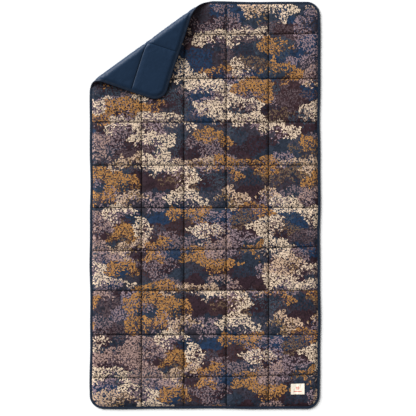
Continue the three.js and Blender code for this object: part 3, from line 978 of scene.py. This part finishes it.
def both_sides(cut, raise_by):
    """A path on the face and on the back, sewn, at the height of the pressed layers."""
    spread = sewn(cut)
    sunk = sag(cut)
    top = np.column_stack([spread, seam_top + raise_by - sunk])
    low = np.column_stack([spread, seam_bottom - raise_by - sunk])
    return top, low


def place_stitches(piece, nodes):
    bend_at(piece)
    if nodes:
        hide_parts(*nodes)


def sew_quilting():
    """Every quilting seam, as a row of stitches on the face and one on the back."""
    run_x, run_y = half_width - BINDING_WIDTH - 1 * MM, half_length - BINDING_WIDTH - 1 * MM
    seams = {n: straight((x, -run_y), (x, run_y)) for n, x in lengthwise.items()}
    seams.update({n: straight((-run_x, y), (run_x, y)) for n, y in crosswise.items()})
    rolled = {}
    for node, cut in seams.items():
        runs = {}
        for side in both_sides(cut, 0.25 * MM):
            for k, paths in split_path(side).items():
                runs.setdefault(k, []).extend(paths)
        for k, paths in runs.items():
            if k in (1, 2):
                rolled.setdefault(k, []).extend(paths)
                continue
            name = "stitches_" + node.replace("_seam", "") + ("_corner" if k else "")
            paths = [path for path in paths if len(path) > SHORTEST_RUN]
            if not paths:
                continue
            piece = sew(name, paths, QUILT_PITCH, QUILT_STITCH, QUILT_THREAD, navy_thread)
            nodes = [node] if k == 0 else [n for n in ("corner_" + node,) if n in frame["nodes"]]
            place_stitches(piece, nodes)
    for k, paths in rolled.items():
        piece = sew(f"stitches_roll_{k}", paths, QUILT_PITCH, QUILT_STITCH, QUILT_THREAD, navy_thread)
        place_stitches(piece, [])


def sew_binding():
    """The binding's stitches, on the face and on the back."""
    points, _ = outline_points(BINDING_STITCH_INSET, 1.5 * MM)
    ring = np.vstack([points, points[:1]])
    for word, flat in zip(("face", "back"), both_sides(ring, BINDING_TAPE + CLEARANCE - 0.1 * MM)):
        for k, paths in split_path(flat).items():
            name = f"binding_stitches_{word}{STRIP_NAMES[k]}"
            piece = sew(name, paths, BINDING_PITCH, BINDING_STITCH, BINDING_THREAD, navy_thread)
            prefix = {0: "", 3: "corner_"}.get(k)
            nodes = [] if prefix is None else [f"{prefix}binding_stitch_{word}"]
            place_stitches(piece, nodes)


sew_quilting()
sew_binding()

# ------------------------------------------------------------------------------------------------
# The label.


def face_level(x, y):
    """Height of the printed face at points of the cut cloth."""
    grid = face_height.reshape(grid_x.shape)
    i = np.clip(np.searchsorted(xs, x) - 1, 0, len(xs) - 2)
    j = np.clip(np.searchsorted(ys, y) - 1, 0, len(ys) - 2)
    tx, ty = (x - xs[i]) / (xs[i + 1] - xs[i]), (y - ys[j]) / (ys[j + 1] - ys[j])
    low = grid[j, i] * (1 - tx) + grid[j, i + 1] * tx
    high = grid[j + 1, i] * (1 - tx) + grid[j + 1, i + 1] * tx
    return low * (1 - ty) + high * ty


def woven_label():
    """Woven satin label: warm white with a generic coral flower over a plain bar, in matt embroidery."""
    material, tree, shader = new_material("woven_satin_label")
    place = cloth_millimetres(tree)
    raised = add(tree, "ShaderNodeVectorMath", {0: place, 1: (0, -4.5, 0)}, out=0, operation="ADD")
    split = add(tree, "ShaderNodeSeparateXYZ", {0: raised})
    angle = add(tree, "ShaderNodeMath", {0: split.outputs[1], 1: split.outputs[0]}, out=0,
                operation="ARCTAN2")
    petals = add(tree, "ShaderNodeMath", {0: angle, 1: 5.0}, out=0, operation="MULTIPLY")
    wave = add(tree, "ShaderNodeMath", {0: petals}, out=0, operation="COSINE")
    reach = add(tree, "ShaderNodeMath", {0: wave, 1: 2.6, 2: 6.4}, out=0, operation="MULTIPLY_ADD")
    distance = add(tree, "ShaderNodeVectorMath", {0: raised}, out=1, operation="LENGTH")
    flower = add(tree, "ShaderNodeMath", {0: distance, 1: reach}, out=0, operation="LESS_THAN")
    eye = add(tree, "ShaderNodeMath", {0: distance, 1: 2.2}, out=0, operation="GREATER_THAN")
    mark = add(tree, "ShaderNodeMath", {0: flower, 1: eye}, out=0, operation="MULTIPLY")
    low = add(tree, "ShaderNodeSeparateXYZ", {0: place})
    down = add(tree, "ShaderNodeMath", {0: low.outputs[1], 1: 11.0}, out=0, operation="ADD")
    bar_y = add(tree, "ShaderNodeMath", {0: down, 1: 0.0, 2: 1.6}, out=0, operation="COMPARE")
    bar_x = add(tree, "ShaderNodeMath", {0: low.outputs[0], 1: 0.0, 2: 19.0}, out=0, operation="COMPARE")
    bar = add(tree, "ShaderNodeMath", {0: bar_x, 1: bar_y}, out=0, operation="MULTIPLY")
    either = add(tree, "ShaderNodeMath", {0: bar, 1: mark}, out=0, operation="MAXIMUM")
    colour = add(tree, "ShaderNodeMix", {0: either, 6: linear("#f1e6d4"), 7: linear("#c8564a")}, out=2,
                 data_type="RGBA")
    tree.links.new(colour, shader.inputs["Base Color"])
    shader.inputs["Roughness"].default_value = 0.6
    shader.inputs["Sheen Weight"].default_value = 0.2
    woven_bump(tree, shader, place, thread=0.7, height=0.08, crinkle=0.4)
    return material


def lay_label():
    low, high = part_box("label")
    centre = np.array(((low + high) / 2).xy) + LABEL_DRIFT
    width, height = high.x - low.x, high.y - low.y
    thickness = 0.6 * MM
    u, v = np.meshgrid(np.linspace(-width / 2, width / 2, 33), np.linspace(-height / 2, height / 2, 25))
    own = np.stack([u.ravel(), v.ravel()], axis=1)
    c, s = math.cos(LABEL_TILT), math.sin(LABEL_TILT)
    turned = own @ np.array([[c, s], [-s, c]]) + centre
    level = face_level(turned[:, 0], turned[:, 1])
    lift = 0.4 * MM + thickness + 0.5 * MM * (np.abs(own[:, 0]) / width * 2) ** 6
    flat = np.column_stack([sewn(turned), level + lift])
    faces = quads(*u.shape).tolist()
    normals = corner_normals(flat, faces)
    label = closed_piece("woven_label", flat, flat - normals * thickness, normals, -normals, own, faces)
    label.data.materials.append(woven_label())
    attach(label, chain[0])
    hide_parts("label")

    x, y = width / 2 - LABEL_HEM, height / 2 - LABEL_HEM
    corners = [(-x, -y), (x, -y), (x, y), (-x, y), (-x, -y)]
    path = np.vstack([straight(a, b) for a, b in zip(corners, corners[1:])])
    placed = path @ np.array([[c, s], [-s, c]]) + centre
    over = face_level(placed[:, 0], placed[:, 1]) + 0.4 * MM + thickness + 0.1 * MM
    ring = np.column_stack([sewn(placed), over])
    stitches = sew("label_stitches", [ring], LABEL_PITCH, LABEL_STITCH, LABEL_THREAD, label_thread)
    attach(stitches, chain[0])
    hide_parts("label_stitch")


lay_label()

# ------------------------------------------------------------------------------------------------
# Floor, light and camera.

VIEW_WIDTH = 1.9385
VIEW_CENTRE = (0.0140, -0.0132)
CAMERA_HEIGHT = 6.0
SENSOR = 36.0
FLOOR_REACH = 30.0


def make_stage():
    reach = FLOOR_REACH
    corners = [(-reach, -reach, 0), (reach, -reach, 0), (reach, reach, 0), (-reach, reach, 0)]
    floor = make_object("floor", corners, [(0, 1, 2, 3)])
    for vertex in floor.data.vertices:
        vertex.co.z = -0.4 * MM
    material, tree, shader = new_material("matt_white_paper")
    shader.inputs["Base Color"].default_value = linear("#f8f8f8")
    shader.inputs["Roughness"].default_value = 0.9
    floor.data.materials.append(material)


def make_sun(name, azimuth, elevation, softness, strength):
    """An even softbox, so far away that it lights the whole floor alike. azimuth is from +X towards +Y."""
    light = bpy.data.lights.new(name, "SUN")
    light.angle = math.radians(softness)
    light.energy = strength
    made = bpy.data.objects.new(name, light)
    bpy.context.scene.collection.objects.link(made)
    made.rotation_euler = (0, math.radians(90 - elevation), math.radians(azimuth))


def make_camera():
    camera = bpy.data.cameras.new("camera")
    camera.sensor_width = SENSOR
    camera.lens = SENSOR * CAMERA_HEIGHT / VIEW_WIDTH
    made = bpy.data.objects.new("camera", camera)
    bpy.context.scene.collection.objects.link(made)
    made.location = (*VIEW_CENTRE, CAMERA_HEIGHT)
    bpy.context.scene.camera = made


make_stage()
make_camera()
make_sun("key", 140, 23, 46, 6.9)
world = bpy.data.worlds.new("studio")
world.use_nodes = True
world.node_tree.nodes["Background"].inputs[0].default_value = (1, 1, 1, 1)
world.node_tree.nodes["Background"].inputs[1].default_value = 0.31
bpy.context.scene.world = world
bpy.context.scene.view_settings.view_transform = "Standard"
